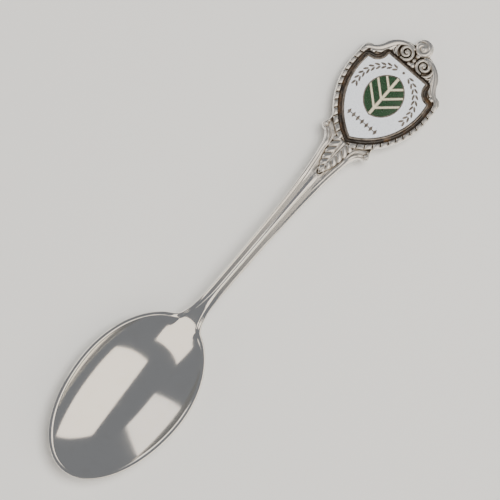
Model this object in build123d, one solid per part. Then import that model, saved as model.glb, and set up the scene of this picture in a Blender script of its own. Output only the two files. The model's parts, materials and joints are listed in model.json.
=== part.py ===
"""Souvenir spoon: a die-struck, plated spoon with an enamelled shield plaque bedded in its finial.

Row frame, millimetres: the spoon lies face up, +Z is up, +Y runs from the bowl to the finial, and the
origin is on the table under the middle of the spoon. The finial is drawn flat in a frame of its own, whose
origin is the back of the finial's tip: x across, y towards the finial's tip, z out of its back plane. One
placement, finial_place, then tilts it onto the end of the stem.
"""

import os
from math import asin, atan2, cos, degrees, hypot, radians, sin, tan

from build123d import *

# ---- driving dimensions ------------------------------------------------------------------------------
overall_length = 114.3  # a four and a half inch collector's spoon

# bowl: two half ellipses in outline, and every section across it is an arc about one line above the rim
bowl_half_width = 12.2
bowl_tip_length = 21.3  # from the widest place to the tip
bowl_neck_length = 18.3  # from the widest place to the neck
bowl_depth = 6.2  # outside, from the rim's plane down
bowl_floor = 0.8  # metal at the bottom of the bowl
rim_width = 0.8  # flat lip, seen from above
rim_edge = 0.5  # upright edge of the lip

# stem
neck_slope = 0.34  # rise of the stem's top per millimetre where it leaves the bowl
finial_tilt = 8.0  # degrees, down towards the finial's tip
stem_belly = 0.3  # how far the rounded underside drops below its edges
rail_inset, rail_height = 0.32, 0.14  # raised thread along each edge
flute_depth, rib_height = 0.26, 0.12  # hollow beside the middle rib

# finial plate, pocket and border
plate_thickness = 1.5
pocket_floor = 0.6
enamel_top_edge = 7.5  # all of these are distances from the finial's tip
enamel_point = 25.65
side_arc_centre = (-6.54, 12.86)  # centre of the shield's right side, and its radius
side_arc_radius = 14.37
notch_centre, notch_radius = (7.65, 7.75), 2.85
plaque_rim = 0.5  # metal edge round the enamel
pocket_gap = 0.8  # open moat between plaque and border
bead_band = 1.0  # width of the beaded border
bead_count = 13  # each side
bead_length = 1.36

# plaque and adhesive
glue_thickness = 0.15
glue_fillet = 0.3  # how far the glue stands up round the plaque
plaque_thickness = 0.95
enamel_depth = 0.35

# leaf emblem and ornaments on the plaque
leaf_top, leaf_bottom, leaf_half_width = 9.9, 19.8, 4.1
leaf_outline = 0.26  # metal line round the leaf
cell_wall = 0.13  # metal line between green and cream
midrib_width, vein_width, vein_angle = 0.5, 0.36, 42.0
vein_starts = (13.2, 15.7, 18.0)
garland_centre, garland_radius = 15.0, 6.45
garland_low, garland_pairs = -14.0, 9
garland_leaf = (0.6, 0.24)  # half length and half width of one leaf
lozenge_row, lozenge_count, lozenge_pitch = 21.75, 7, 1.12

# ---- derived -------------------------------------------------------------------------------------------
half_length = overall_length / 2
bowl_middle = -half_length + bowl_tip_length
neck = bowl_middle + bowl_neck_length
rim_height = bowl_depth
pocket_offset = plaque_rim + pocket_gap
bead_offset = pocket_offset + bead_band / 2
border_offset = pocket_offset + bead_band
plaque_bottom = pocket_floor + glue_thickness
plaque_top = plaque_bottom + plaque_thickness
finial_place = Location((0, half_length, 0), (-finial_tilt, 0, 0))
tilt = radians(finial_tilt)


# ---- bowl ------------------------------------------------------------------------------------------------
def bowl_outline(share, inset):
    """(y, half width) of the bowl at share -1, its tip, to 1, its neck: a half ellipse each way."""
    length = (bowl_tip_length if share < 0 else bowl_neck_length) - inset
    return bowl_middle + share * length, (bowl_half_width - inset) * (1 - share**2) ** 0.5


def bowl_solid(inset, depth):
    """A spindle turned about a line above the rim and cut off level, so that a bowl-shaped cap is left.

    Each section across is an arc about that line, which is lift above the cut, so where the outline is
    width wide the spindle's radius is the root of width squared plus lift squared.
    """
    half_width = bowl_half_width - inset
    lift = (half_width**2 - depth**2) / (2 * depth)
    steps = 16
    shares = [sin(radians(90 * (2 * i / steps - 1))) for i in range(steps + 1)]
    outline = [bowl_outline(share, inset) for share in shares]
    crest = [(0, y, -hypot(width, lift)) for y, width in outline]
    (_, start, _), (_, end, _) = crest[0], crest[-1]
    lines = Spline(crest) + Polyline((0, end, -lift), (0, end, 0), (0, start, 0), (0, start, -lift))
    spindle = revolve(make_face(lines), axis=Axis.Y)
    size = 4 * overall_length
    below = Pos(0, 0, -lift - size / 2) * Box(size, size, size)
    return Pos(0, 0, lift) * (spindle & below)


def bowl_body():
    """Outside of the bowl: the cap, with its level top carried up to the rim's plane."""
    cap = bowl_solid(0, bowl_depth - rim_edge)
    edge = extrude(cap.faces().sort_by(Axis.Z)[-1], amount=rim_edge)
    return Pos(0, 0, rim_height - rim_edge) * (cap + edge)


def bowl_hollow():
    return Pos(0, 0, rim_height) * bowl_solid(rim_width, bowl_depth - bowl_floor)


# ---- stem ------------------------------------------------------------------------------------------------
def finial_plane(y, height):
    """z of the plane that lies height above the finial's back."""
    return (half_length - y) * tan(tilt) + height / cos(tilt)


def stem_top(y):
    """Height of the stem's top: a cubic arch from the rim to the finial's straight slope."""
    start, end = neck, stem_straight_from
    if y >= end:
        return finial_plane(y, plate_thickness)
    if y <= start:
        return rim_height + (y - start) * neck_slope
    span = end - start
    t = (y - start) / span
    rise = (2 * t**3 - 3 * t**2 + 1) * rim_height + (t**3 - 2 * t**2 + t) * span * neck_slope
    fall = (3 * t**2 - 2 * t**3) * finial_plane(end, plate_thickness) - (t**3 - t**2) * span * tan(tilt)
    return rise + fall


stem_straight_from = 20.6
# place along the spoon, half width, thickness
stem_stations = (
    (neck - 2.0, 3.7, 0.6),
    (neck - 1.0, 3.5, 0.95),
    (neck, 2.8, 1.35),
    (neck + 2.3, 2.0, 1.8),
    (neck + 4.6, 1.68, 2.0),
    (neck + 8.8, 1.55, 2.1),
    (0.0, 1.6, 2.0),
    (9.5, 1.86, 1.8),
    (14.6, 2.15, 1.65),
    (stem_straight_from, 2.62, 1.52),
    (24.8, 3.08, 1.5),
    (28.2, 3.7, 1.5),
)


def stem_section(y, half_width, thickness):
    """Closed outline across the stem: rounded belly, upright edges, and rails, flutes and rib on top."""
    top = stem_top(y)
    bottom = top - thickness
    flute = half_width * 0.52
    crest = half_width - rail_inset
    profile = [
        (-half_width, top - 0.1),
        (-crest, top + rail_height),
        (-flute, top - flute_depth),
        (0, top + rib_height),
        (flute, top - flute_depth),
        (crest, top + rail_height),
        (half_width, top - 0.1),
    ]
    low = bottom + stem_belly
    lines = Spline([(x, y, z) for x, z in profile])
    lines += Line((half_width, y, top - 0.1), (half_width, y, low))
    lines += ThreePointArc((half_width, y, low), (0, y, bottom), (-half_width, y, low))
    lines += Line((-half_width, y, low), (-half_width, y, top - 0.1))
    return make_face(lines)


def stem_solid():
    return loft([stem_section(*station) for station in stem_stations])


# ---- finial, drawn in its own flat frame -----------------------------------------------------------------
def shield(offset_by):
    """The shield outline at a distance outside the enamel's edge."""
    top = enamel_top_edge
    corner_x = notch_centre[0] - (notch_radius**2 - (notch_centre[1] - top) ** 2) ** 0.5
    notch_foot = (notch_centre[0], notch_centre[1] + notch_radius)
    turn = radians(40)
    notch_middle = (
        notch_centre[0] - notch_radius * cos(turn),
        notch_centre[1] + notch_radius * sin(turn),
    )
    side_turn = radians(30)
    side_middle = (
        side_arc_centre[0] + side_arc_radius * cos(side_turn),
        side_arc_centre[1] + side_arc_radius * sin(side_turn),
    )
    right = [
        Line((0, -top), (corner_x, -top)),
        ThreePointArc((corner_x, -top), flip(notch_middle), flip(notch_foot)),
        ThreePointArc(flip(notch_foot), flip(side_middle), (0, -enamel_point)),
    ]
    half = make_face(right + [Line((0, -enamel_point), (0, -top))])
    whole = half + mirror(half, about=Plane.YZ)
    return offset(whole, amount=offset_by) if offset_by else whole


def flip(point):
    """A point given as (across, distance from the tip) in the finial's own x and y."""
    return (point[0], -point[1])


def border_point(radius_offset, angle):
    """A point of the shield's right side arc, angle degrees below level, and its distance from the tip."""
    radius = side_arc_radius + radius_offset
    turn = radians(angle)
    return (side_arc_centre[0] + radius * cos(turn), side_arc_centre[1] + radius * sin(turn))


def border_angle(radius_offset, across=None, down=None):
    """The angle of that arc at a place across, or at a distance from the tip."""
    radius = side_arc_radius + radius_offset
    if across is not None:
        return 90 - degrees(asin((across - side_arc_centre[0]) / radius))
    return degrees(asin((down - side_arc_centre[1]) / radius))


def finial_outline():
    """Palmette, crest, shoulders, bulging sides, ears and the neck that runs into the stem."""
    side_top = border_point(border_offset, border_angle(border_offset, down=11.0))
    side_middle = border_point(border_offset, border_angle(border_offset, down=18.0))
    side_foot = border_point(border_offset, border_angle(border_offset, down=24.3))
    arcs = [
        ((0, 0), (1.62, 0.75), (1.95, 2.35)),
        ((1.95, 2.35), (2.65, 2.5), (3.4, 2.8)),
        ((3.4, 2.8), (5.35, 3.85), (6.75, 5.5)),
        ((6.75, 5.5), (7.4, 6.9), (8.3, 7.9)),
        ((8.3, 7.9), (9.4, 8.25), (9.9, 8.95)),
    ]
    right = [ThreePointArc(flip(a), flip(b), flip(c)) for a, b, c in arcs]
    right += [
        Line(flip((9.9, 8.95)), flip(side_top)),
        ThreePointArc(flip(side_top), flip(side_middle), flip(side_foot)),
        Line(flip(side_foot), flip((5.4, 25.4))),
        ThreePointArc(flip((5.4, 25.4)), flip((6.1, 26.7)), flip((4.75, 27.8))),
        ThreePointArc(flip((4.75, 27.8)), flip((3.98, 28.9)), flip((3.45, 30.6))),
        Line(flip((3.45, 30.6)), flip((0, 30.6))),
        Line(flip((0, 30.6)), (0, 0)),
    ]
    half = make_face(right)
    return half + mirror(half, about=Plane.YZ)


def barrel(length, radius, end_radius):
    """A bead that lies along x: an arc turned about its own axis."""
    arc = ThreePointArc((-length / 2, end_radius), (0, radius), (length / 2, end_radius))
    lines = [
        arc,
        Line((length / 2, end_radius), (length / 2, 0)),
        Line((length / 2, 0), (-length / 2, 0)),
        Line((-length / 2, 0), (-length / 2, end_radius)),
    ]
    return revolve(make_face(lines), axis=Axis.X)


def stick(start, end, radius, height):
    """A round-ended bar between two places given as (across, distance from the tip)."""
    (x0, y0), (x1, y1) = flip(start), flip(end)
    length = hypot(x1 - x0, y1 - y0)
    rod = Rot(0, 90, 0) * Cylinder(radius, length)
    rod = rod + [Pos(side * length / 2, 0, 0) * Sphere(radius) for side in (-1, 1)]
    turn = degrees(atan2(y1 - y0, x1 - x0))
    return Pos((x0 + x1) / 2, (y0 + y1) / 2, height) * Rot(0, 0, turn) * rod


def both_sides(shapes):
    return shapes + [mirror(shape, about=Plane.YZ) for shape in shapes]


def border_beads():
    """Beads down both sides, evenly spaced along the border from the shoulder to the shield's point."""
    first = border_angle(bead_offset, down=10.0)
    last = border_angle(bead_offset, across=1.7)
    step = (last - first) / (bead_count - 1)
    beads = []
    for index in range(bead_count):
        angle = first + index * step
        place = flip(border_point(bead_offset, angle))
        bead = barrel(bead_length, bead_band * 0.55, bead_band * 0.4)
        beads.append(Pos(*place, plate_thickness - 0.05) * Rot(0, 0, -angle - 90) * bead)
    return both_sides(beads)


def crest_scrolls():
    """Rolled volutes either side of the middle, with a rail from each down to the shoulder."""
    scrolls = []
    volute = Pos(*flip((2.1, 4.85)), plate_thickness)
    scrolls.append(volute * Torus(0.95, 0.42))
    scrolls.append(volute * Sphere(0.55))
    rail_points = [(2.7, 3.45), (4.9, 4.05), (6.35, 5.8), (7.4, 7.6), (9.1, 9.1)]
    rail = Spline([(*flip(point), plate_thickness - 0.05) for point in rail_points])
    scrolls.append(sweep(Plane(rail @ 0, z_dir=rail % 0) * Circle(0.42), path=rail))
    return both_sides(scrolls)


def palmette():
    """Five lobes that fan out from a boss at the top of the crest."""
    boss = (0, 3.15)
    lobes = [Pos(*flip(boss), plate_thickness) * Sphere(0.6)]
    for angle, length in ((-64, 1.35), (-32, 1.9), (0, 2.45), (32, 1.9), (64, 1.35)):
        turn = radians(angle)
        tip = (boss[0] + length * sin(turn), boss[1] - length * cos(turn))
        lobes.append(stick(boss, tip, 0.4, plate_thickness))
    return lobes


def ears():
    return both_sides([Pos(*flip((5.2, 26.6)), plate_thickness - 0.1) * Sphere(0.72)])


def acanthus():
    """The leaf on the upper stem: a tapering spine with lobes that slant down to its point."""
    spine_top, spine_point = 27.2, 34.8
    half_top, half_point = 0.62, 0.1
    corners = [
        (-half_top, spine_top),
        (half_top, spine_top),
        (half_point, spine_point),
        (-half_point, spine_point),
    ]
    spine = extrude(make_face(Polyline([flip(c) for c in corners], close=True)), amount=0.45)
    pieces = [Pos(0, 0, plate_thickness - 0.1) * spine]
    lobes = []
    for index in range(5):
        start = 28.4 + index * 1.35
        reach = 2.05 - index * 0.27
        lobes.append(stick((0.75, start), (reach, start + 0.95), 0.36, plate_thickness - 0.12))
    return pieces + both_sides(lobes)


def finial_solid():
    plate = extrude(finial_outline(), amount=plate_thickness)
    pocket = extrude(shield(pocket_offset), amount=2 * plate_thickness)
    ornaments = border_beads() + crest_scrolls() + palmette() + ears() + acanthus()
    return plate + ornaments - Pos(0, 0, pocket_floor) * pocket


def spoon_blank():
    """Bowl, stem and finial frame are struck from one piece of metal."""
    body = bowl_body() + stem_solid() - bowl_hollow()
    return body + finial_place * finial_solid()


# ---- plaque, its enamels and its bed ---------------------------------------------------------------------
def leaf_shape(inset):
    """A pointed leaf, the overlap of two circles, drawn inset from its edge."""
    half_height = (leaf_bottom - leaf_top) / 2
    radius = (half_height**2 + leaf_half_width**2) / (2 * leaf_half_width)
    sideways = radius - leaf_half_width
    circle = Circle(radius - inset)
    middle = -(leaf_top + leaf_bottom) / 2
    return Pos(sideways, middle) * circle & Pos(-sideways, middle) * circle


def vein_lines(extra):
    """Midrib and three pairs of veins, each extra wider on every side."""
    middle = -(leaf_top + leaf_bottom) / 2
    lines = Pos(0, middle) * Rectangle(midrib_width + 2 * extra, 2 * (leaf_bottom - leaf_top))
    reach = 2 * leaf_half_width
    for start in vein_starts:
        for side in (-1, 1):
            bar = Rectangle(reach, vein_width + 2 * extra, align=(Align.MIN, Align.CENTER))
            turn = vein_angle if side > 0 else 180 - vein_angle
            lines += Pos(0, -start) * Rot(0, 0, turn) * bar
    return lines


def garland_marks():
    """Pairs of small leaves along an arc over the emblem, with a berry at its top."""
    step = (90 - garland_low - 7) / garland_pairs
    marks = [Pos(0, garland_radius - garland_centre) * Circle(0.3)]
    for index in range(garland_pairs):
        angle = garland_low + index * step
        for out in (-1, 1):
            radius = garland_radius + out * 0.36
            turn = radians(angle)
            place = Pos(radius * cos(turn), radius * sin(turn) - garland_centre)
            leaf = place * Rot(0, 0, angle + 90 + out * 24) * Ellipse(*garland_leaf)
            marks += both_sides([leaf])
    return marks


def lozenge_marks():
    """A straight row of lozenges with dots between them, under the emblem."""
    lozenge = make_face(Polyline([(0, 0.72), (0.4, 0), (0, -0.72), (-0.4, 0)], close=True))
    first = -lozenge_pitch * (lozenge_count - 1) / 2
    row = [Pos(first + i * lozenge_pitch, -lozenge_row) * lozenge for i in range(lozenge_count)]
    gaps = range(lozenge_count - 1)
    row += [Pos(first + (i + 0.5) * lozenge_pitch, -lozenge_row) * Circle(0.15) for i in gaps]
    return row


def on_plaque(sketch):
    """A sketch made into enamel: as deep as the cells, flush with the plaque's face."""
    return Pos(0, 0, plaque_top - enamel_depth) * extrude(sketch, amount=enamel_depth)


def enamel_sketches():
    """Every enamel cell by node name."""
    inner_leaf = leaf_shape(leaf_outline)
    cream = vein_lines(0) & inner_leaf
    green = inner_leaf - vein_lines(cell_wall)
    ground = shield(0) - leaf_shape(0)
    for mark in garland_marks() + lozenge_marks():
        ground -= mark
    cells = {"white_enamel_ground": ground, "cream_enamel_veins": cream}
    for side, sign in (("left", -1), ("right", 1)):
        fields = [face for face in green.faces() if face.center().X * sign > 0]
        fields.sort(key=lambda face: -face.center().Y)
        for index, field in enumerate(fields, start=1):
            cells[f"green_enamel_{side}_{index}"] = field
    return cells


def plaque_plate(cells):
    """Struck brass plate; what is left between the cells is its raised lines and ornaments."""
    plate = Pos(0, 0, plaque_bottom) * extrude(shield(plaque_rim), amount=plaque_thickness)
    for cell in cells:
        plate -= cell
    return plate


def adhesive_bed():
    """Glue under the plaque, and the fillet that stands up round it in the moat."""
    bed = extrude(shield(pocket_offset), amount=glue_thickness + glue_fillet)
    seat = extrude(shield(plaque_rim), amount=plaque_thickness)
    return Pos(0, 0, pocket_floor) * (bed - Pos(0, 0, glue_thickness) * seat)


# ---- assembly --------------------------------------------------------------------------------------------
os.makedirs("parts", exist_ok=True)
enamels = {name: on_plaque(sketch) for name, sketch in enamel_sketches().items()}
flat_parts = {"plaque_plate": plaque_plate(enamels.values()), "adhesive_bed": adhesive_bed(), **enamels}
parts = {name: finial_place * shape for name, shape in flat_parts.items()}
parts["spoon_blank"] = spoon_blank()

# The finial's tilt carries its face slightly past its back, so the whole is centred on its real box.
box = parts["spoon_blank"].bounding_box()
centred = Pos(0, -(box.min.Y + box.max.Y) / 2, -box.min.Z)
for name, shape in parts.items():
    export_step(centred * shape, f"parts/{name}.step")
print("box", box.min, box.max, "nodes", len(parts))
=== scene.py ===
# %% [markdown]
# # A souvenir spoon with an enamelled plaque
#
# The CAD model holds the sizes: how long the spoon is, where its plaque sits, how far the finial tilts.
# This file gives it its looks. The struck metal is remade as fine surfaces with the softly modelled relief
# that a steel die leaves, the glue and the plaque's rim get shapes of their own, and every
# finish is built from shader nodes. The frame is loaded first, and every place below is worked out from it.

# %% Load the frame
import json
from math import asin, atan2, cos, pi, radians, sin, tan

import bpy
import numpy as np
from mathutils import Matrix, Vector


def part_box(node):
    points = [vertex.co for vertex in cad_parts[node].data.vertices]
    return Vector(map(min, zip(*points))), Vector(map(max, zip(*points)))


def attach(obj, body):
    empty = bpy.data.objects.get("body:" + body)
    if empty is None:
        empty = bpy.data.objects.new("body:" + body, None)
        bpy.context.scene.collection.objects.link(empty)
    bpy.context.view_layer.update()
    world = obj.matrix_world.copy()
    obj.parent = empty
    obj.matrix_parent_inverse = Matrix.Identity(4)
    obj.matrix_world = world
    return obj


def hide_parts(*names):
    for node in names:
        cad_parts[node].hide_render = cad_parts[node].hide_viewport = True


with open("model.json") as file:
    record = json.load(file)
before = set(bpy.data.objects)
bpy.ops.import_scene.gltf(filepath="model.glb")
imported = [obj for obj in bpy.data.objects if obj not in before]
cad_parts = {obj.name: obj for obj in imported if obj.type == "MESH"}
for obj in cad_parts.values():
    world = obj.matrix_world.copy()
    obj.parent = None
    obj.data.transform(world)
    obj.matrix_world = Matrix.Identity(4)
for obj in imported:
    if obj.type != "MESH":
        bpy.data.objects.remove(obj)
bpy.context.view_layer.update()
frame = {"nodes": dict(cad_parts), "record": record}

print("nodes", sorted(frame["nodes"]))

# %% [markdown]
# ## Sizes that the frame gives
#
# Shapes are worked out in millimetres and turned to Blender's metres at the very end, when a mesh is made.
# The bowl's width and the spoon's ends come from the box of the struck blank. The finial lies 8 degrees off
# level, so it gets a flat frame of its own: x across, d the distance down from the finial's tip, and h the
# height above its flat back. The mount on that back says where the plane is and which way it faces.

# %% Read the places
MM = 0.001
blank_low, blank_high = (np.array(corner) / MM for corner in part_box("spoon_blank"))
bowl_half = blank_high[0]
bowl_tip_y = blank_low[1]

mounts = {mount["name"]: mount for mount in frame["record"]["mounts"]}
mount_from_tip = 15.0
finial_out = -np.array(mounts["finial_back"]["axis"])
finial_up = np.array([0.0, finial_out[2], -finial_out[1]])
finial_origin = np.array(mounts["finial_back"]["pos_m"]) / MM + mount_from_tip * finial_up
tilt = atan2(finial_out[1], finial_out[2])


def on_finial(x, d, h):
    """Row-frame points from the finial's own: origin + x across - d along the finial + h out of its back."""
    x, d, h = np.broadcast_arrays(x, d, h)
    across = np.array([1.0, 0.0, 0.0])
    return finial_origin + x[..., None] * across - d[..., None] * finial_up + h[..., None] * finial_out


print("tilt", round(tilt * 180 / pi, 2), "finial origin", finial_origin.round(3))

# %% [markdown]
# ## Camera
#
# The spoon is seen from straight above, lying corner to corner: its finial points up and to the right. A
# long lens from more than half a metre away keeps the shape almost free of perspective. It looks down -Z, so
# only its roll has to be worked out, from the angle between the spoon and the picture's upright edge.

# %% Make the camera
spoon_turn = radians(40.69)
picture_width = 101.45
lens, sensor = 200.0, 36.0
image_right = Vector((cos(spoon_turn), sin(spoon_turn), 0.0))
image_up = Vector((-sin(spoon_turn), cos(spoon_turn), 0.0))
spoon_middle = Vector((0.0, (blank_low[1] + blank_high[1]) / 2, 3.5))
aim = spoon_middle + 0.61 * image_right + 1.1 * image_up
camera_height = picture_width * lens / sensor

camera_data = bpy.data.cameras.new("camera")
camera_data.lens, camera_data.sensor_width = lens, sensor
camera_data.clip_start, camera_data.clip_end = 0.01, 10.0
camera = bpy.data.objects.new("camera", camera_data)
axes = Matrix((image_right, image_up, Vector((0, 0, 1)))).transposed()
camera.matrix_world = Matrix.Translation((aim + Vector((0, 0, camera_height))) * MM) @ axes.to_4x4()
bpy.context.scene.collection.objects.link(camera)
bpy.context.scene.camera = camera
print("camera height", round(camera_height), "mm")

# %% [markdown]
# ## From numbers to a mesh
#
# Every surface below is a grid: an array of points with a row for each step along one parameter and a
# column for each step along the other. Numpy works out all of them at once. One function lists the four
# corners of every cell, and one writes points and faces into a mesh. Two values from 0 to 1 go along with
# each point of the silver: "depth", how far it lies down in the relief, where polish never reaches, and
# "satin", how much its bright surface is broken up by die marks.

# %% Mesh helpers


def grid_faces(rows, columns, around=True, ring=False):
    """Corner numbers of each cell of a grid of points, taken round each cell. The option around joins the
    last column to the first; ring joins the last row to the first."""
    row = np.arange(rows if ring else rows - 1)[:, None]
    column = np.arange(columns if around else columns - 1)[None, :]
    next_row, next_column = (row + 1) % rows, (column + 1) % columns
    corners = [row * columns + column, row * columns + next_column]
    corners += [next_row * columns + next_column, next_row * columns + column]
    return np.stack(np.broadcast_arrays(*corners), -1).reshape(-1, 4)


def fan_faces(ring, middle):
    """Triangles from each edge of a closed ring of points to one middle point."""
    return np.stack([ring, np.roll(ring, -1), np.full_like(ring, middle)], -1)


def make_piece(name, points, face_groups, material, marks=None, replaces=()):
    """A shaded mesh object from points in mm and groups of faces; it rides on the spoon's one body."""
    corners = np.concatenate([group.ravel() for group in face_groups]).astype(np.int32)
    sizes = np.concatenate([np.full(len(group), group.shape[1]) for group in face_groups])
    starts = np.concatenate([[0], np.cumsum(sizes)[:-1]]).astype(np.int32)
    mesh = bpy.data.meshes.new(name)
    mesh.vertices.add(len(points))
    mesh.vertices.foreach_set("co", (np.asarray(points) * MM).astype(np.float32).ravel())
    mesh.loops.add(len(corners))
    mesh.loops.foreach_set("vertex_index", corners)
    mesh.polygons.add(len(sizes))
    mesh.polygons.foreach_set("loop_start", starts)
    mesh.update(calc_edges=True)
    mesh.validate()
    mesh.shade_smooth()
    for mark, values in (marks or {}).items():
        mesh.attributes.new(mark, "FLOAT", "POINT").data.foreach_set("value", values.astype(np.float32))
    mesh.materials.append(material)
    piece = bpy.data.objects.new(name, mesh)
    bpy.context.scene.collection.objects.link(piece)
    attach(piece, "root")
    if replaces:
        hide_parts(*replaces)
    triangles = int((sizes - 2).sum())
    print(name, len(points), "points", triangles, "triangles")
    return piece


def ease(low, high, value):
    """Smooth step: 0 below low, 1 above high, and 3t^2 - 2t^3 between."""
    t = np.clip((value - low) / (high - low), 0, 1)
    return t * t * (3 - 2 * t)


def soft_max(a, b, blend):
    """The larger of two heights, with the crease between them rounded over a height of about blend."""
    share = np.clip(0.5 + 0.5 * (a - b) / blend, 0, 1)
    return b + (a - b) * share + blend * share * (1 - share)


def soft_min(a, b, blend):
    """The smaller of two heights, with the ridge between them rounded."""
    return -soft_max(-a, -b, blend)


def dome(distance, radius):
    """Height of a round bump, 1 at its middle and 0 at its edge: the root of 1 - (distance/radius)^2."""
    return np.sqrt(np.clip(1 - (distance / radius) ** 2, 0, 1))


# %% [markdown]
# ## Shader helpers
#
# A finish is a small network of nodes. One function adds a node, sets its fields and sockets, and links what
# feeds it. Colours are written the way a paint chart gives them, as sRGB hex, and turned to the linear
# values that the renderer mixes.

# %% Node and colour helpers


def linear(hex_colour):
    """sRGB hex to linear RGBA: c/12.92 below 0.04045, else ((c + 0.055)/1.055)^2.4."""
    values = [int(hex_colour[i : i + 2], 16) / 255 for i in (1, 3, 5)]
    return [v / 12.92 if v <= 0.04045 else ((v + 0.055) / 1.055) ** 2.4 for v in values] + [1.0]


def add_node(tree, kind, fields=None, **sockets):
    """Adds a node. fields are its settings; a socket is given a value, or an output that is linked to it."""
    node = tree.nodes.new(kind)
    for field, value in (fields or {}).items():
        setattr(node, field, value)
    for socket, value in sockets.items():
        key = int(socket[1:]) if socket[0] == "_" else socket.replace("_", " ")
        target = node.inputs[key]
        if isinstance(value, bpy.types.NodeSocket):
            tree.links.new(value, target)
        else:
            target.default_value = value
    return node


def add_ramp(tree, factor, stops):
    """A colour ramp through (position, hex colour) stops."""
    node = add_node(tree, "ShaderNodeValToRGB", Fac=factor)
    elements = node.color_ramp.elements
    while len(elements) < len(stops):
        elements.new(0.5)
    for element, (position, colour) in zip(elements, stops):
        element.position = position
        element.color = linear(colour)
    return node.outputs["Color"]


def new_material(name):
    material = bpy.data.materials.new(name)
    material.use_nodes = True
    tree = material.node_tree
    shader = tree.nodes["Principled BSDF"]
    place = add_node(tree, "ShaderNodeTexCoord").outputs["Object"]
    return material, tree, shader, place


def per_metre(size_mm):
    """Noise scale, in cells per metre, for cells of a size in mm."""
    return 1 / (size_mm * MM)


# %% [markdown]
# ## Silver plate
#
# The blank is struck from a brass or nickel alloy and plated with bright silver. Such a surface is a mirror
# that years of wiping have covered in hairline scratches, which blur its reflections a little. Silver also
# tarnishes brown where a cloth can't reach, so the "depth" attribute mixes a dull brown into the hollows:
# it is what makes struck relief readable. Scratches 0.05 mm wide would be too fine to see here, so they are
# drawn about 0.12 mm wide.

# %% Silver plate


def silver_plate():
    material, tree, shader, place = new_material("bright_silver_plate")
    depth = add_node(tree, "ShaderNodeAttribute", {"attribute_name": "depth"}).outputs["Fac"]
    patches = add_node(tree, "ShaderNodeTexNoise", Vector=place, Scale=per_metre(2.5), Detail=3.0)
    uneven = add_node(
        tree, "ShaderNodeMath", {"operation": "MULTIPLY_ADD"}, _0=patches.outputs["Fac"], _1=0.3, _2=-0.15
    )
    grime = add_node(
        tree, "ShaderNodeMath", {"operation": "ADD", "use_clamp": True}, _0=depth, _1=uneven.outputs[0]
    )
    colour = add_ramp(
        tree,
        grime.outputs[0],
        [(0.0, "#F4F1EA"), (0.3, "#E8E3D9"), (0.6, "#9C9080"), (0.95, "#40352A")],
    )
    tree.links.new(colour, shader.inputs["Base Color"])
    wiped = add_node(
        tree, "ShaderNodeMapping", Vector=place, Rotation=(0.0, 0.0, radians(24)), Scale=(1.0, 0.07, 1.0)
    )
    hairlines = add_node(
        tree, "ShaderNodeTexNoise", Vector=wiped.outputs[0], Scale=per_metre(0.12), Detail=2.0
    )
    crossing = add_node(
        tree, "ShaderNodeMapping", Vector=place, Rotation=(0.0, 0.0, radians(-57)), Scale=(1.0, 0.05, 1.0)
    )
    second = add_node(
        tree, "ShaderNodeTexNoise", Vector=crossing.outputs[0], Scale=per_metre(0.15), Detail=2.0
    )
    scratches = add_node(
        tree, "ShaderNodeMath", {"operation": "ADD"}, _0=hairlines.outputs["Fac"], _1=second.outputs["Fac"]
    )
    haze = add_node(tree, "ShaderNodeTexNoise", Vector=place, Scale=per_metre(6.0), Detail=2.0)
    wear = add_node(
        tree, "ShaderNodeMath", {"operation": "MULTIPLY_ADD"}, _0=haze.outputs["Fac"], _1=0.09, _2=0.045
    )
    rough = add_node(
        tree, "ShaderNodeMath", {"operation": "MULTIPLY_ADD"}, _0=grime.outputs[0], _1=0.35,
        _2=wear.outputs[0],
    )
    satin = add_node(tree, "ShaderNodeAttribute", {"attribute_name": "satin"}).outputs["Fac"]
    struck = add_node(
        tree, "ShaderNodeMath", {"operation": "MULTIPLY_ADD"}, _0=satin, _1=0.16, _2=rough.outputs[0]
    )
    tree.links.new(struck.outputs[0], shader.inputs["Roughness"])
    bump = add_node(tree, "ShaderNodeBump", Strength=0.06, Distance=0.00002, Height=scratches.outputs[0])
    tree.links.new(bump.outputs[0], shader.inputs["Normal"])
    shader.inputs["Metallic"].default_value = 1.0
    return material


silver = silver_plate()

# %% [markdown]
# ## Bowl and stem, as one swept skin
#
# Seen from above, the spoon is a closed outline: two half ellipses for the bowl, then a narrow waist that
# swells again towards the finial. Straight rays run from a line down the spoon's middle out to that
# outline, and both faces of the metal are heights over the plane: the dish of the bowl, the arch of the stem
# with its rails, flutes and middle rib, and the plain rounded back. Between the two faces a small half round
# carries the surface over the rim. Working with heights keeps one rule for the whole skin, so the dish flows
# into the stem without a seam, as it does on the struck blank.

# %% Outline of bowl and stem
bowl_tip_length, bowl_neck_length = 21.3, 18.1
rim_height, rim_edge, rim_lip = 6.2, 0.5, 0.8
bowl_floor = 0.8
bowl_middle = bowl_tip_y + bowl_tip_length
neck = bowl_middle + 18.3
plate_thickness = 1.5
throat_end = 30.45


def stem_half_width(y):
    """A waist of 1.53 mm that widens exponentially to the bowl at one end and to the finial at the other."""
    throat_y = finial_origin[1] - 29.0
    return 1.53 + 1.37 * np.exp(-(y - neck) / 2.1) + 2.1 * np.exp((y - throat_y) / 9.8)


def bowl_share(y):
    """-1 at the bowl's tip, 0 where it is widest, 1 at its neck."""
    length = np.where(y < bowl_middle, bowl_tip_length, bowl_neck_length)
    return (y - bowl_middle) / length


def half_width(y):
    """Ellipse and waist joined by a sixth-power mean, which rounds the corner where they cross."""
    ellipse = bowl_half * np.sqrt(np.clip(1 - bowl_share(y) ** 2, 0, 1))
    inside = y < neck - 4
    waist = stem_half_width(soft_max(y, neck - 1.6 + 0 * y, 0.8))
    joined = (ellipse**6 + waist**6) ** (1 / 6)
    fade = ease(neck - 8, neck - 4, y)
    return np.where(inside, ellipse + (joined - ellipse) * fade, joined)


# %% Heights of bowl and stem
arch_end = finial_origin[1] - 36.45


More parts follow.
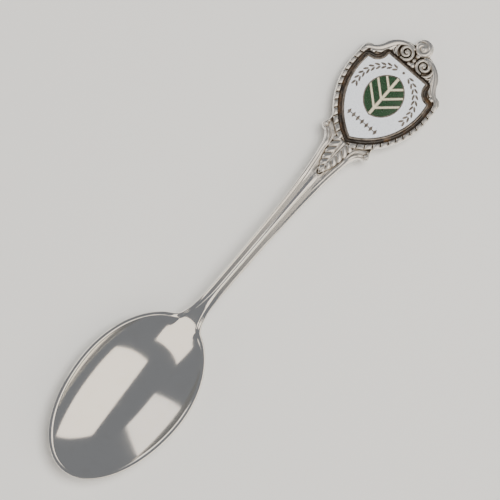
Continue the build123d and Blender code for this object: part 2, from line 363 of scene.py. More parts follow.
def stem_crown(y):
    """Middle line of the stem's top: straight off the rim, a cubic arch, then straight with the finial."""
    slope, fall = 0.34, tan(tilt)
    plane = finial_origin[2] + (finial_origin[1] - y) * fall + plate_thickness / cos(tilt)
    end_height = finial_origin[2] + (finial_origin[1] - arch_end) * fall + plate_thickness / cos(tilt)
    span = arch_end - neck
    t = np.clip((y - neck) / span, 0, 1)
    rise = (2 * t**3 - 3 * t**2 + 1) * rim_height + (t**3 - 2 * t**2 + t) * span * slope
    drop = (3 * t**2 - 2 * t**3) * end_height - (t**3 - t**2) * span * fall
    arch = rise + drop + np.minimum(y - neck, 0) * slope
    return np.where(y > arch_end, plane, arch)


def stem_thickness(y):
    """1.35 mm at the neck, 2.1 mm in the arch and 1.5 mm at the finial."""
    return np.interp(y, [neck - 2, neck, neck + 5, neck + 9, 0, arch_end], [0.7, 1.35, 2.0, 2.1, 2.0, 1.5])


def dish_depth(x, y):
    """Depth below the rim: each section is an arc about a line lift above it, so depth is
    sqrt(lift^2 + width^2 - x^2) - lift, with the width that of the inner ellipse."""
    half = bowl_half - rim_lip
    depth = rim_height - bowl_floor
    lift = (half**2 - depth**2) / (2 * depth)
    length = np.where(y < bowl_middle, bowl_tip_length, bowl_neck_length + 0.2) - rim_lip
    room = half**2 * (1 - ((y - bowl_middle) / length) ** 2) - x**2
    return np.sqrt(np.maximum(lift**2 + room, 0.01)) - lift


def bowl_underside(x, y):
    """The outer face by the same rule, from the foot of the rim's edge down."""
    depth = rim_height - rim_edge
    lift = (bowl_half**2 - depth**2) / (2 * depth)
    length = np.where(y < bowl_middle, bowl_tip_length, bowl_neck_length + 0.2)
    room = bowl_half**2 * (1 - ((y - bowl_middle) / length) ** 2) - x**2
    return rim_height - rim_edge - (np.sqrt(np.maximum(lift**2 + room, 0.01)) - lift)


def stem_profile(x, y):
    """Relief across the stem, by u, the share of the half width: a crowned rib in the middle, a flat-floored
    flute on each side of it, and a round rail along each edge. Near the bowl the rib
    widens, the flutes run out and the rails spread and fade. Heights shrink with the stem."""
    width = stem_half_width(soft_max(y, neck - 1.6 + 0 * y, 0.8))
    u = np.abs(x) / width
    near_bowl = ease(neck + 9, neck - 1, y)
    foot = 0.2 + 0.42 * near_bowl
    floor = -0.11 * (1 - 0.4 * near_bowl) * ease(0.85, 0.67, u)
    flank = ease(foot + 0.07, foot - 0.05, u)
    rib = 0.1 - 0.15 * (u / foot) ** 2 * (1 - near_bowl)
    rail = 0.09 * (1 - 0.6 * near_bowl) * np.exp(-(((u - 0.87) / (0.075 + 0.09 * near_bowl)) ** 2))
    relief = floor + (rib - floor) * flank + rail
    return relief * np.minimum(width / 2.4, 1.1) * ease(neck - 2.0, neck + 2.0, y)


def plain_top(x, y):
    """Upper face without its relief: rim less dish, met by the stem's crown as it dips into the bowl."""
    rim = rim_height + soft_max(stem_crown(y) - rim_height, 0 * y, 0.3) - 0.075
    dish = soft_max(dish_depth(x, y), 0 * y, 0.12) - 0.03 * ease(neck - 2, neck - 5, y)
    bowl = rim - dish
    side = soft_max(np.abs(x) - 1.9, 0 * x, 0.5)
    shoulder = stem_crown(y) + 0.02 + 0.55 * side**1.6
    near_neck = ease(neck - 9, neck - 5, y)
    flowing = soft_min(bowl, shoulder, 0.7 * near_neck + 0.001)
    flowing = bowl + (flowing - bowl) * near_neck
    on_stem = ease(neck - 1.0, neck + 3.0, y)
    return flowing * (1 - on_stem) + stem_crown(y) * on_stem


def top_height(x, y):
    """Upper face with its relief. The crease where the stem's crown breaks into the dish is worn round: the
    height there is a bell-weighted mean over 2.7 mm up and down the spoon."""
    plain = plain_top(x, y)
    steps = np.linspace(-2.7, 2.7, 15)
    weights = np.exp(-((steps / 1.2) ** 2) / 2)
    worn = sum(weight * plain_top(x, y + step) for step, weight in zip(steps, weights)) / weights.sum()
    share = np.exp(-((np.abs(x) / 2.5) ** 4))
    share = share * ease(neck - 7.5, neck - 4.5, y) * ease(neck + 6, neck + 3, y)
    return plain + (worn - plain) * share + stem_profile(x, y)


def bottom_height(x, y):
    """Lower face: the bowl's underside, met by the stem's rounded belly."""
    u = x / half_width(y)
    belly = stem_crown(y) - stem_thickness(y) + 0.32 * u**2 * ease(finial_origin[1] - 29, arch_end, y)
    belly = belly + 1.5 * soft_max(neck - 1.4 - y, 0 * y, 0.8)
    shell = bowl_underside(x, y) + 3 * soft_max(y - neck - 0.4, 0 * y, 0.8)
    return soft_min(shell, belly, 0.7)


# %% [markdown]
# The leaf on the upper stem is a second height, added to the first. Its lobes are a wave in a slanted
# coordinate, so that they lean out and down to the point, and it is cut off by the leaf's own half width.
# The spine is two bright side lines that close to a point, with a thin ridge between them.

# %% Leaf on the upper stem
leaf_start, leaf_length = 27.5, 8.3
lobe_pitch = 1.5


def leaf_relief(x, d):
    """Height of the leaf over the ground of the stem, in mm, at x across and d from the finial's tip."""
    side = np.abs(x)
    share = np.clip((d - leaf_start) / leaf_length, 0, 1)
    spine = np.clip(0.73 * (1 - (d - 27.2) / 7.7), 0, 0.73)
    slanted = (d - 0.75 * (side - spine) - leaf_start) / lobe_pitch
    lobe = np.abs(np.sin(pi * slanted)) ** 0.55
    reach = 2.3 * (1 - share**2.2) ** 0.9 * (0.86 + 0.14 * lobe)
    out = np.clip((side - spine) / np.maximum(reach - spine, 0.05), 0, 1.5)
    blade = (0.16 + 0.34 * lobe) * np.clip(1 - out**3, 0, 1) ** 0.6
    blade = blade * (side > spine) * ease(leaf_start + leaf_length, leaf_start + leaf_length - 0.5, d)
    lines = 0.22 * ease(spine + 0.05, spine - 0.05, side) + 0.24 * np.exp(-(((side - spine) / 0.13) ** 2))
    lines = (lines + 0.1 * np.exp(-((x / 0.1) ** 2))) * ease(35.3, 34.7, d) * ease(26.9, 27.4, d)
    calyx = np.hypot(x / 0.75, (d - 34.9) / 1.1)
    hook = 0.3 * np.exp(-(((calyx - 1) / 0.22) ** 2)) * (d > 34.6)
    return np.maximum.reduce([blade, lines, hook]) * ease(26.9, 27.6, d)


def stem_side(d):
    """Half width of the upper stem at d from the finial's tip, measured on its face."""
    return stem_half_width(finial_origin[1] - d * cos(tilt) + plate_thickness * sin(tilt))


def throat_half_width(d):
    """Half width of the outline at a distance from the finial's tip, from the stem up to the ears."""
    return stem_side(d) + 0.75 * np.exp(-(d - 27.8) / 0.7)


def throat_ground(x, d):
    """Ground under the leaf: the stem's rails carried up to the ears, and a bed sunk between them."""
    side = np.abs(x)
    edge = throat_half_width(d) - side
    rail = 0.14 * np.exp(-(((edge - 0.42) / 0.24) ** 2)) + 0.06 * np.exp(-(((edge - 1.0) / 0.15) ** 2))
    bed_half = 2.15 - 0.75 * ease(29.0, 35.5, d)
    bed = -0.17 * ease(bed_half + 0.22, bed_half - 0.1, side) * ease(36.3, 34.6, d) * ease(26.6, 27.2, d)
    return rail + bed


def throat_folds(x, d):
    """Two long folds that sweep from each ear down beside the leaf: bumps about lines x = a + b exp(-d/c)."""
    side = np.abs(x)
    outer = 2.62 + 1.9 * np.exp(-(d - 27.0) / 1.3)
    inner = 2.28 + 1.2 * np.exp(-(d - 26.8) / 0.8)
    folds = 0.2 * np.exp(-(((side - outer) / 0.3) ** 2)) + 0.16 * np.exp(-(((side - inner) / 0.17) ** 2))
    return folds * ease(33.5, 29.5, d) * ease(26.2, 27.0, d)


def throat_height(x, d):
    """Height of throat and leaf over the plane of the finial's plain face."""
    return throat_ground(x, d) + np.maximum(leaf_relief(x, d), throat_folds(x, d))


def hollow(height, x, d, reach=0.3):
    """How far a point lies below its neighbours: the mean height of eight places round it less its own."""
    turns = np.arange(8) * pi / 4
    around = sum(height(x + reach * cos(turn), d + reach * sin(turn)) for turn in turns) / 8
    return np.clip((around - height(x, d)) / 0.22, 0, 1)


# %% Skin of bowl and stem


def outline_rows(spacing_bowl, spacing_stem, spacing_leaf, end_y):
    """Places along the right half of the outline: finely sampled, then spaced along its length."""
    turn = np.linspace(0, pi / 2, 4000)
    past_middle = np.linspace(bowl_middle, end_y, 8000)[1:]
    y = np.concatenate([bowl_middle - bowl_tip_length * np.cos(turn), past_middle])
    x = half_width(y)
    x[0] = 0
    length = np.concatenate([[0], np.cumsum(np.hypot(np.diff(x), np.diff(y)))])
    leaf_y = finial_origin[1] - 37.0
    spacing = np.where(y < neck + 1, spacing_bowl, np.where(y < leaf_y, spacing_stem, spacing_leaf))
    steps = np.concatenate([[0], np.cumsum(np.diff(length) / spacing[1:])])
    wanted = np.linspace(0, steps[-1], int(steps[-1]) + 1)
    return np.interp(wanted, steps, x), np.interp(wanted, steps, y)


def rim_round(count, power):
    """(out, up) of a squared-off half round from its top, (0, 1), to its bottom, (0, -1)."""
    turn = np.linspace(pi / 2, -pi / 2, count)
    out = np.abs(np.cos(turn)) ** power
    up = np.sign(np.sin(turn)) * np.abs(np.sin(turn)) ** power
    return out, up


def blurred(values, reach, axis, wrap):
    """Mean over a window of reach steps to each side along one axis."""
    mode = "wrap" if wrap else "edge"
    padding = [(0, 0), (0, 0)]
    padding[axis] = (reach, reach)
    padded = np.pad(values, padding, mode=mode)
    length = values.shape[axis]
    count = 2 * reach + 1
    return sum(np.take(padded, np.arange(i, i + length), axis) for i in range(count)) / count


def tucked(overlap):
    """Where two pieces overlap, each dives under the other along a flat curve, so they cross unseen."""
    return 0.3 * np.clip(overlap, 0, None) ** 2


def bowl_and_stem_points():
    """Loops round the metal, one for each ray: middle, top, rim, bottom, and back along the other side."""
    stem_end = finial_origin[1] - (throat_end - 0.15) * cos(tilt) + plate_thickness * sin(tilt)
    edge_x, edge_y = outline_rows(0.19, 0.30, 0.085, stem_end)
    along = np.stack([np.gradient(edge_x), np.gradient(edge_y)], -1)
    along /= np.linalg.norm(along, axis=1)[:, None]
    normal = np.stack([along[:, 1], -along[:, 0]], -1)
    normal[0] = (0, -1)
    rim = 0.24 + 0.06 * ease(neck, neck + 6, edge_y)
    inner_x = np.maximum(edge_x - rim * normal[:, 0], 0)
    inner_y = edge_y - rim * normal[:, 1]
    knee = bowl_middle + 6
    middle_y = np.where(inner_y < knee, knee - (knee - inner_y) * 0.76, inner_y)

    def face(share):
        x = inner_x[:, None] * share
        y = middle_y[:, None] + (inner_y - middle_y)[:, None] * share
        return x, y

    top_x, top_y = face(1 - (1 - np.linspace(0, 1, 61)[None, :]) ** 1.25)
    low_x, low_y = face(np.linspace(1, 0, 27)[None, :])
    d = (finial_origin[1] + plate_thickness * sin(tilt) - top_y) / cos(tilt)
    near_leaf = ease(39.5, 36.0, d)
    plain = top_height(top_x, top_y)
    flat = stem_crown(top_y) + throat_height(top_x, d)
    top_z = plain * (1 - near_leaf) + flat * near_leaf - tucked(throat_end - d)
    trend = 0.45 * top_y
    evened = blurred(blurred(blurred(top_z - trend, 3, 0, False), 2, 1, False), 2, 0, False) + trend
    at_neck = ease(neck - 5.0, neck - 3.0, top_y) * ease(neck + 3.5, neck + 1.5, top_y)
    top_z = top_z + (evened - top_z) * at_neck
    low_d = (finial_origin[1] - low_y) / cos(tilt)
    low_z = bottom_height(low_x, low_y) + tucked(throat_end - low_d)
    lean = ease(neck + 3, neck + 12, low_y) * stem_lean(low_y)
    drop = (stem_crown(low_y) - low_z) * np.sin(lean)
    out, up = rim_round(13, 0.7)
    high, low = top_z[:, -1:], low_z[:, :1]
    rim_x = inner_x[:, None] + rim[:, None] * normal[:, :1] * out[1:-1]
    rim_y = inner_y[:, None] + rim[:, None] * normal[:, 1:] * out[1:-1]
    rim_z = (high + low) / 2 + (high - low) / 2 * up[1:-1]
    rim_drop = drop[:, :1] * (1 - up[1:-1]) / 2
    x = np.concatenate([top_x, rim_x, low_x], 1)
    y = np.concatenate([top_y, rim_y - rim_drop, low_y - drop], 1)
    z = np.concatenate([top_z, rim_z, low_z], 1)
    right = np.stack([x, y, z], -1)
    left = right[:, -2:0:-1] * (-1, 1, 1)
    return np.concatenate([right, left], 1)


def stem_lean(y):
    """How far the stem's thickness leans from upright, which is its crown's downhill slope."""
    return np.arctan2(stem_crown(y - 0.1) - stem_crown(y + 0.1), 0.2)


def joined_halves(points, faces):
    """The first row is folded flat along the spoon's middle, so its two halves share their points."""
    columns = points.shape[1]
    flat = points.reshape(-1, 3)
    same = np.arange(len(flat))
    left = np.arange(columns // 2 + 1, columns)
    same[left] = columns - left
    faces = [same[group] for group in faces]
    used, where = np.unique(np.concatenate([group.ravel() for group in faces]), return_inverse=True)
    cuts = np.cumsum([group.size for group in faces])[:-1]
    parts = [part.reshape(group.shape) for part, group in zip(np.split(where, cuts), faces)]
    return used, parts


points = bowl_and_stem_points()
rows, columns = points.shape[:2]
top_side = np.minimum(np.arange(columns), columns - np.arange(columns)) < 61
x, y = points[..., 0], points[..., 1]
d = (finial_origin[1] + plate_thickness * sin(tilt) - y) / cos(tilt)
stem_depth = hollow(throat_height, x, d) * ease(37.0, 35.8, d) * top_side
stem_depth += 0.12 * ease(37.0, 35.0, d) * top_side
share_out = np.abs(x) / half_width(y)
in_flute = ease(0.2, 0.32, share_out) * ease(0.84, 0.72, share_out) * ease(neck + 4, neck + 12, y)
stem_depth += 0.2 * in_flute * ease(36.0, 41.0, d) * top_side
stem_satin = 0.25 * ease(neck + 2, neck + 12, y) + 0.75 * ease(39.0, 35.0, d)
end_cap = (np.arange(columns) + (rows - 1) * columns)[None, :]
kept, groups = joined_halves(points, [grid_faces(rows, columns), end_cap])
bowl_and_stem = make_piece(
    "bowl_and_stem", points.reshape(-1, 3)[kept], groups, silver,
    marks={"depth": stem_depth.ravel()[kept], "satin": stem_satin.ravel()[kept]}, replaces=["spoon_blank"],
)

# %% [markdown]
# ## Finial
#
# The top of the spoon is a small shield: a band of slanted beads down each side, a crest of scrolls over it
# with a curled palmette as its tip, and two little ears where it narrows into the stem. On the real spoon
# one blow of a steel die forms all of it. Here it is a grid of rays again, from the edge of the pocket to
# the outline, and a height for every point. Each ornament is a path or a centre with a rounded section, and
# the highest one wins, so they overlap as carved work does.

# %% Shield outline and pocket
centre_d = 14.0
pocket_reach = 1.3
pocket_floor = 0.6


def beyond_shield(x, d):
    """Distance outside the enamel: a straight top, two wide side arcs and two notches cut from the corners."""
    x = np.abs(x)
    parts = np.stack([7.5 - d, np.hypot(x + 6.54, d - 12.86) - 14.37, 2.85 - np.hypot(x - 7.65, d - 7.75)])
    outside = np.sqrt((np.clip(parts, 0, None) ** 2).sum(0))
    inside = parts.max(0)
    return np.where(inside > 0, outside, inside)


def shield_radius(turn, reach):
    """Distance from the finial's centre at which each ray is reach outside the enamel, by halving."""
    near, far = np.full_like(turn, 2.0), np.full_like(turn, 16.0)
    for _ in range(40):
        middle = (near + far) / 2
        outside = beyond_shield(middle * np.sin(turn), centre_d - middle * np.cos(turn)) > reach
        near, far = np.where(outside, near, middle), np.where(outside, middle, far)
    return (near + far) / 2


def arc_through(start, via, end, count=60):
    """Points on the circle through three points, from the first to the last."""
    (ax, ay), (bx, by), (cx, cy) = start, via, end
    scale = 2 * (ax * (by - cy) + bx * (cy - ay) + cx * (ay - by))
    ux = ((ax**2 + ay**2) * (by - cy) + (bx**2 + by**2) * (cy - ay) + (cx**2 + cy**2) * (ay - by)) / scale
    uy = ((ax**2 + ay**2) * (cx - bx) + (bx**2 + by**2) * (ax - cx) + (cx**2 + cy**2) * (bx - ax)) / scale
    first, middle, last = (atan2(py - uy, px - ux) for px, py in (start, via, end))
    sweep = (last - first) % (2 * pi)
    if (middle - first) % (2 * pi) > sweep:
        sweep -= 2 * pi
    turn = first + sweep * np.linspace(0, 1, count)
    radius = np.hypot(ax - ux, ay - uy)
    return np.stack([ux + radius * np.cos(turn), uy + radius * np.sin(turn)], -1)


def finial_outline():
    """The right half of the outline as (x, d) points: palmette, crest, shoulder, side, ear and throat."""
    side_x = 16.67 * cos(asin((11 - 12.86) / 16.67)) - 6.54
    low_x = 16.67 * cos(asin((24.3 - 12.86) / 16.67)) - 6.54
    runs = [
        arc_through((0, 0), (1.62, 0.75), (1.95, 2.35)),
        arc_through((1.95, 2.35), (2.65, 2.5), (3.4, 2.8)),
        arc_through((3.4, 2.8), (5.35, 3.85), (6.75, 5.5)),
        arc_through((6.75, 5.5), (7.4, 6.9), (8.3, 7.9)),
        arc_through((8.3, 7.9), (9.4, 8.25), (9.9, 8.95)),
        arc_through((side_x, 11.0), (16.67 - 6.54, 12.86), (low_x, 24.3), 200),
        arc_through((5.4, 25.4), (6.1, 26.7), (4.75, 27.8)),
        arc_through((4.75, 27.8), (3.98, 28.9), (3.45, 30.6)),
        np.linspace((3.45, 30.6), (3.38, 30.9), 10),
    ]
    points = np.concatenate(runs)
    x, d = points.T
    x = x + (stem_side(d) - x) * ease(29.0, 30.3, d)
    flat_end = np.linspace((x[-1], 30.9), (0, 30.9), 60)
    return np.concatenate([np.stack([x, d], -1), flat_end])


ray_count = 1060
turn = np.linspace(0, 2 * pi, ray_count, endpoint=False)
folded = np.where(turn > pi, 2 * pi - turn, turn)
outline = finial_outline()
outline_turn = np.maximum.accumulate(np.arctan2(outline[:, 0], centre_d - outline[:, 1]))
outer = np.interp(folded, outline_turn, np.hypot(outline[:, 0], centre_d - outline[:, 1]))
over_top = ease(radians(46), radians(37), folded)
inner = shield_radius(turn, pocket_reach - 0.42 * over_top)
print("pocket radius", inner.min().round(2), "to", inner.max().round(2))
print("outline radius", outer.min().round(2), "to", outer.max().round(2))


# %% Ornament helpers


def smooth_path(corners, rounds=3):
    """Cuts the corners of a path again and again, each at a quarter of its sides."""
    path = np.array(corners, float)
    for _ in range(rounds):
        cut = np.stack([path[:-1] * 0.75 + path[1:] * 0.25, path[:-1] * 0.25 + path[1:] * 0.75], 1)
        path = np.concatenate([path[:1], cut.reshape(-1, 2), path[-1:]])
    return path


def near_path(x, d, path):
    """For each point, its place along a path as a share of the length, its distance from it, and the side."""
    steps = np.diff(path, axis=0)
    lengths = np.hypot(steps[:, 0], steps[:, 1])
    starts = np.concatenate([[0], np.cumsum(lengths)])
    best = np.full(x.shape, 1e9)
    share, side = np.zeros(x.shape), np.zeros(x.shape)
    for (px, pd), (sx, sd), length, start in zip(path[:-1], steps, lengths, starts):
        t = np.clip(((x - px) * sx + (d - pd) * sd) / max(length**2, 1e-9), 0, 1)
        away = np.hypot(x - px - t * sx, d - pd - t * sd)
        closer = away < best
        best = np.where(closer, away, best)
        share = np.where(closer, (start + t * length) / starts[-1], share)
        side = np.where(closer, np.sign((x - px) * sd - (d - pd) * sx), side)
    return share, best, side


def ribbon(x, d, corners, width, height, tip=0.12):
    """A rounded strand along a path: width and height may change along it, and its ends taper."""
    share, away, _ = near_path(x, d, smooth_path(corners))
    taper = dome(np.clip(tip - share, 0, 1), tip) * dome(np.clip(share - 1 + tip, 0, 1), tip)
    widths = np.atleast_1d(width)
    half = np.interp(share, np.linspace(0, 1, len(widths)), widths) * (0.35 + 0.65 * taper)
    return height * dome(away, half) * (0.4 + 0.6 * taper)


def scroll(x, d, centre, radius, pitch, start, height, eye):
    """A flat spiral strand that winds inwards from a start direction and ends in a round eye."""
    away_x, away_d = x - centre[0], d - centre[1]
    away = np.hypot(away_x, away_d)
    wound = (np.arctan2(away_d, away_x) - start) % (2 * pi) / (2 * pi)
    strand = np.zeros(x.shape)
    for lap in range(3):
        middle = radius - pitch * (wound + lap)
        strand = np.maximum(strand, dome(away - middle, pitch * 0.46) * (middle > eye * 0.6))
    return height * np.maximum(strand, dome(away, eye) * 1.1)


# %% Height of the finial
bead_radius = 16.17
bead_first, bead_last = asin((10.0 - 12.86) / bead_radius), 1.036
bead_pitch = bead_radius * (bead_last - bead_first) / 12


def bead_band(x, d):
    """Slanted beads along the side arcs, each a flat-topped cushion: 1 - (across)^4 times 1 - (along)^4."""
    side = np.abs(x) + 6.54
    across = np.hypot(side, d - 12.86) - bead_radius
    along = bead_radius * (np.arctan2(d - 12.86, side) - bead_first)
    phase = (along - 0.25 * across) / bead_pitch
    step = 2 * (phase - np.round(phase))
    cushion = np.clip(1 - (across / 0.58) ** 4, 0, 1) * np.clip(1 - np.abs(step / 0.97) ** 4, 0, 1)
    inside = ease(-0.95, -0.75, along) * ease(bead_pitch * 12 + 1.0, bead_pitch * 12 + 0.7, along)
    return 0.5 * np.sqrt(cushion) * inside


def crest(x, d):
    """Height of the crest's scrolls over the field: rails, strands, two volutes and the curled palmette."""
    side = np.abs(x)
    rail_path = [
        (1.2, 3.35), (2.3, 3.2), (4.0, 3.62), (5.25, 4.55), (6.1, 5.9),
        (7.0, 7.5), (8.05, 8.35), (9.15, 8.95), (9.7, 10.1),
    ]
    long_fold = [(4.75, 4.9), (5.35, 6.0), (5.7, 7.2), (6.6, 8.2), (7.6, 8.7)]
    short_fold = [(3.0, 6.75), (3.95, 6.3), (4.45, 5.3), (4.3, 4.1)]
    heights = [
        ribbon(side, d, rail_path, [0.45, 0.55, 0.7, 0.7, 0.62, 0.5], 0.5, 0.06),
        ribbon(side, d, long_fold, [0.35, 0.55, 0.45, 0.3], 0.36, 0.15),
        ribbon(side, d, short_fold, [0.2, 0.34, 0.34, 0.2], 0.42, 0.1),
        ribbon(side, d, [(3.9, 6.75), (4.8, 6.1), (5.05, 5.1)], [0.15, 0.24, 0.15], 0.3, 0.2),
        0.45 * dome(np.hypot(side - 7.75, d - 9.0), 0.6),
        scroll(side, d, (2.32, 4.85), 1.68, 0.84, radians(75), 0.62, 0.5),
        0.5 * dome(np.hypot(x - 0.05, d - 3.9), 0.5),
        0.4 * dome(np.hypot(x - 0.3, d - 6.1), 0.6),
        0.36 * dome(np.hypot(x + 0.45, d - 6.3), 0.45),
        0.36 * dome(np.hypot(x, d - 5.1), 0.42),
        0.62 * dome(np.hypot(x - 0.12, d - 1.85), 1.95),
        0.3 * dome(np.hypot(x - 0.12, d - 1.85), 1.95)
        + scroll(x, d, (-0.25, 2.1), 1.85, 1.05, radians(-140), 0.48, 0.55),
    ]
    return np.maximum.reduce(heights)


def finial_height(x, d):
    """Height of the finial's face over its back: field, crest, beads, ears and the leafy throat."""
    field = 1.36
    relief = np.maximum(crest(x, d) * ease(10.9, 10.2, d), bead_band(x, d))
    ground = field + (plate_thickness + throat_ground(x, d) - field) * ease(26.2, 27.2, d + 0.2 * np.abs(x))
    leaf = plate_thickness + throat_height(x, d)
    side = np.abs(x)
    ears = np.maximum(
        0.62 * dome(np.hypot(side - 5.35, d - 26.75), 0.62), 0.5 * dome(np.hypot(side - 5.3, d - 25.9), 0.45)
    )
    leaf = np.where(d > 27.0, leaf, ground)
    return np.maximum.reduce([ground, ground + relief, leaf, field + ears])


def finial_points():
    """Rows from the pocket's foot up its wall, out over the face, round the outline and in to the back."""
    start = np.stack([inner * np.sin(turn), centre_d - inner * np.cos(turn)], -1)
    end = np.stack([outer * np.sin(turn), centre_d - outer * np.cos(turn)], -1)
    tangent = blurred(np.roll(end, -2, 0) - np.roll(end, 2, 0), 3, 0, True)
    tangent /= np.linalg.norm(tangent, axis=1)[:, None]
    normal = np.stack([-tangent[:, 1], tangent[:, 0]], -1)
    normal *= np.sign((normal * (end - (0, centre_d))).sum(1))[:, None]
    end = end - normal * tucked(end[:, 1:] - throat_end)
    rim = 0.3
    edge = end - normal * rim
    share = np.linspace(0, 1, 72)[:, None]
    face = start + (edge - start) * share[..., None]
    x, d = face[..., 0], face[..., 1]
    height = finial_height(x, d) - tucked(d - throat_end)
    from_wall = np.hypot(x - start[:, 0], d - start[:, 1])
    height -= 0.14 * (1 - dome(np.clip(0.14 - from_wall, 0, 0.14), 0.14))
    out, up = rim_round(13, 0.7)
    top = height[-1]
    side_xd = edge + normal * rim * out[1:-1, None, None]
    back = tucked(edge[:, 1] - throat_end)
    side_h = (top + back) / 2 + (top - back) / 2 * up[1:-1, None]
    foot = np.full((1, ray_count), pocket_floor)
    all_xd = np.concatenate([start[None], face, side_xd, edge[None]])
    all_h = np.concatenate([foot, height, side_h, back[None]])
    return all_xd[..., 0], all_xd[..., 1], all_h


x, d, h = finial_points()
rows = len(h)
face_rows = slice(1, 73)
finial_depth = np.zeros_like(h)
face_x, face_d = x[face_rows], d[face_rows]
finial_depth[face_rows] = hollow(finial_height, face_x, face_d)
finial_depth[face_rows] += np.where(face_d > 29, 0.12, 0.12 + 0.12 * ease(1.5, 1.34, h[face_rows]))
finial_depth[0] = 1.0
grid = on_finial(x, d, h).reshape(-1, 3)
middles = on_finial(np.zeros(2), np.full(2, centre_d), np.array([pocket_floor, 0.0]))
count = len(grid)
last_row = np.arange(ray_count) + (rows - 1) * ray_count
groups = [
    grid_faces(rows, ray_count),
    fan_faces(np.arange(ray_count)[::-1], count),
    fan_faces(last_row, count + 1),
]
finial = make_piece(
    "finial", np.concatenate([grid, middles]), groups, silver,
    marks={"depth": np.append(finial_depth, [1.0, 0.2]), "satin": np.ones(count + 2)},
    replaces=["spoon_blank"],
)

# %% [markdown]
# ## Glue in the pocket
#
# The plaque is glued into its pocket with a slow amber cement. It wells up in the gap round the plaque,
# clings to both walls and cures with an uneven, glassy surface. A ring of small cross sections gives it that
# shape: low in the middle, higher where it wets the walls, and lumpy along its length.

# %% Glue finish and ring


def glue_finish():
    material, tree, shader, place = new_material("cured_amber_glue")
    clots = add_node(tree, "ShaderNodeTexNoise", Vector=place, Scale=per_metre(1.8), Detail=4.0)
    browns = [(0.3, "#14110D"), (0.5, "#2C2620"), (0.64, "#453423"), (0.78, "#6B5334")]
    colour = add_ramp(tree, clots.outputs["Fac"], browns)
    tree.links.new(colour, shader.inputs["Base Color"])
    shader.inputs["Roughness"].default_value = 0.16
    shader.inputs["Coat Weight"].default_value = 0.4
    return material


def glue_points(ray_total, section_total):
    """Sections across the gap: top from the plaque's wall to the pocket's wall, then back underneath."""
    turn = np.linspace(0, 2 * pi, ray_total, endpoint=False)
    near, far = shield_radius(turn, 0.42), shield_radius(turn, 1.34)
    lumps = 0.5 * np.sin(5 * turn + 1.3) + 0.35 * np.sin(11 * turn + 0.4) + 0.25 * np.sin(23 * turn + 2.1)
    share = np.linspace(0, 1, section_total)[:, None]
    fill = 0.28 + 0.10 * lumps + 0.16 * np.clip(np.sin(turn - 0.1), 0, 1)
    climb = 0.3 * (np.abs(2 * share - 1) ** 2.2) * (1 + 0.5 * lumps * np.sign(share - 0.5))
    top = pocket_floor + fill + climb
    radius = near + (far - near) * share
    radii = np.concatenate([radius, radius[::-1]])
    heights = np.concatenate([top, np.full_like(top, pocket_floor - 0.02)])
    return on_finial(radii * np.sin(turn), centre_d - radii * np.cos(turn), heights)


glue_grid = glue_points(720, 9)
glue = make_piece(
    "pocket_glue", glue_grid.reshape(-1, 3), [grid_faces(*glue_grid.shape[:2], ring=True)], glue_finish(),
    replaces=["adhesive_bed"],
)

# %% [markdown]
# ## Plaque
#
# The plaque is die struck too: walls of metal stand up from its floor, and ground glass is melted into the
# cells between them. Its metal is toned brown-grey by the kiln. The CAD model holds every wall and cell, so
# those shapes stay as they are and only get their finishes. A rounded rim is laid over the plate's square
# edge, because stoning and polishing always round it.

# %% Plaque finishes


def toned_metal():
    material, tree, shader, place = new_material("kiln_toned_bronze")
    stains = add_node(tree, "ShaderNodeTexNoise", Vector=place, Scale=per_metre(0.9), Detail=4.0)
    colour = add_ramp(
        tree, stains.outputs["Fac"], [(0.25, "#6A645C"), (0.5, "#938B82"), (0.75, "#B4ACA2")]
    )
    tree.links.new(colour, shader.inputs["Base Color"])
    shader.inputs["Metallic"].default_value = 1.0
    shader.inputs["Roughness"].default_value = 0.34
    return material


def enamel_finish(name, base, speck, speck_size, speck_share):
    """Glass fused to metal: a coloured body under its own gloss, with fine specks and faint waviness."""
    material, tree, shader, place = new_material(name)
    grains = add_node(tree, "ShaderNodeTexNoise", Vector=place, Scale=per_metre(speck_size), Detail=2.0)
    colour = add_ramp(
        tree, grains.outputs["Fac"], [(0.5 - speck_share, speck), (0.5, base), (1.0, base)]
    )
    tree.links.new(colour, shader.inputs["Base Color"])
    shader.inputs["Roughness"].default_value = 0.22
    shader.inputs["Coat Weight"].default_value = 0.25
    waves = add_node(tree, "ShaderNodeTexNoise", Vector=place, Scale=per_metre(1.2), Detail=1.0)
    bump = add_node(
        tree, "ShaderNodeBump", Strength=0.1, Distance=0.00003, Height=waves.outputs["Fac"]
    )
    tree.links.new(bump.outputs[0], shader.inputs["Normal"])
    return material


bronze = toned_metal()
finishes = {
    "plaque_plate": bronze,
    "white_enamel_ground": enamel_finish("white_enamel", "#DDE2E9", "#B9C2CC", 0.16, 0.2),
    "cream_enamel_veins": enamel_finish("cream_enamel", "#D6CFB2", "#B5AC8C", 0.2, 0.15),
}
green = enamel_finish("green_enamel", "#16371D", "#102A15", 0.5, 0.2)
for name, node in frame["nodes"].items():
    finish = finishes.get(name, green if name.startswith("green") else None)
    if finish is not None:
        node.data.materials.clear()
        node.data.materials.append(finish)

# %% Rounded rim of the plaque
plaque_top = 1.70


def plaque_rim_points(ray_total, section_total):
    """A low half round that follows the enamel's edge, centred in the metal rim."""
    turn = np.linspace(0, 2 * pi, ray_total, endpoint=False)
    middle = shield_radius(turn, 0.27)
    around = np.linspace(0, 2 * pi, section_total, endpoint=False)[:, None]
    radius = middle - 0.22 * np.cos(around)
    height = plaque_top - 0.02 + 0.14 * np.sin(around)
    return on_finial(radius * np.sin(turn), centre_d - radius * np.cos(turn), height)


rim_grid = plaque_rim_points(900, 14)
plaque_rim = make_piece(
    "plaque_rim", rim_grid.reshape(-1, 3), [grid_faces(*rim_grid.shape[:2], ring=True)], bronze,
)

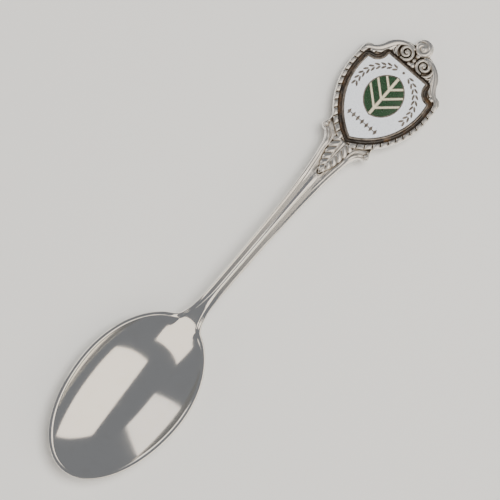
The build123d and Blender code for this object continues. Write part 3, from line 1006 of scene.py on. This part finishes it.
# %% [markdown]
# ## Studio
#
# Bright plate is a mirror: it shows the room. The studio is therefore plain, with a pale floor, a dim grey
# room and three rectangular soft boxes. A large one hangs overhead and to the spoon's right, one stands lower
# on its left, and one lies across beyond the bowl's tip. Between them the grey room shows in the bowl. The
# boxes are ordinary area lights, set out in the spoon's own frame in millimetres and turned to face the bowl.
# A wide light that mirrors don't show brightens the floor and the enamel evenly.

# %% Floor
floor_material, floor_tree, floor_shader, _ = new_material("pale_floor")
floor_shader.inputs["Base Color"].default_value = linear("#E2E2E0")
floor_shader.inputs["Roughness"].default_value = 0.8
floor_mesh = bpy.data.meshes.new("floor")
floor_mesh.from_pydata([(-3, -3, 0), (3, -3, 0), (3, 3, 0), (-3, 3, 0)], [], [(0, 1, 2, 3)])
floor_mesh.materials.append(floor_material)
floor = bpy.data.objects.new("floor", floor_mesh)
bpy.context.scene.collection.objects.link(floor)
print("pale floor laid")


# %% Soft boxes
def facing(place, target):
    """Matrix of a light that hangs at a place in mm and points at a target."""
    towards = Vector(place) - Vector(target)
    return Matrix.Translation(Vector(place) * MM) @ towards.to_track_quat("Z", "Y").to_matrix().to_4x4()


def soft_box(name, place, width, height, brightness, colour):
    """A rectangular light facing the bowl. For a brightness seen in the plate, power = pi area brightness."""
    data = bpy.data.lights.new(name, "AREA")
    data.shape, data.size, data.size_y = "RECTANGLE", width * MM, height * MM
    data.energy = pi * data.size * data.size_y * brightness
    data.color = linear(colour)[:3]
    lamp = bpy.data.objects.new(name, data)
    lamp.matrix_world = facing(place, (0, bowl_middle, 3))
    bpy.context.scene.collection.objects.link(lamp)
    return lamp


soft_box("overhead_box", (390, 40, 540), 760, 800, 1.55, "#FFF3E4")
soft_box("left_box", (-600, -40, 260), 300, 900, 1.35, "#FFF6EC")
soft_box("near_box", (-40, -640, 420), 700, 330, 1.5, "#FFF3E4")
print("three soft boxes hung")

# %% Fill light and dim room
fill_data = bpy.data.lights.new("fill", "AREA")
fill_data.shape, fill_data.size, fill_data.energy = "DISK", 0.4, 7.5
fill_data.color = linear("#FFFDF8")[:3]
fill = bpy.data.objects.new("fill", fill_data)
fill_place = Vector((0, 0, 800)) + 200 * image_right + 120 * image_up
fill.matrix_world = facing(fill_place, (0, 0, 0))
fill.visible_glossy = False
bpy.context.scene.collection.objects.link(fill)

world = bpy.data.worlds.new("studio")
world.use_nodes = True
world.node_tree.nodes["Background"].inputs["Color"].default_value = linear("#8E9197")
world.node_tree.nodes["Background"].inputs["Strength"].default_value = 0.75
bpy.context.scene.world = world
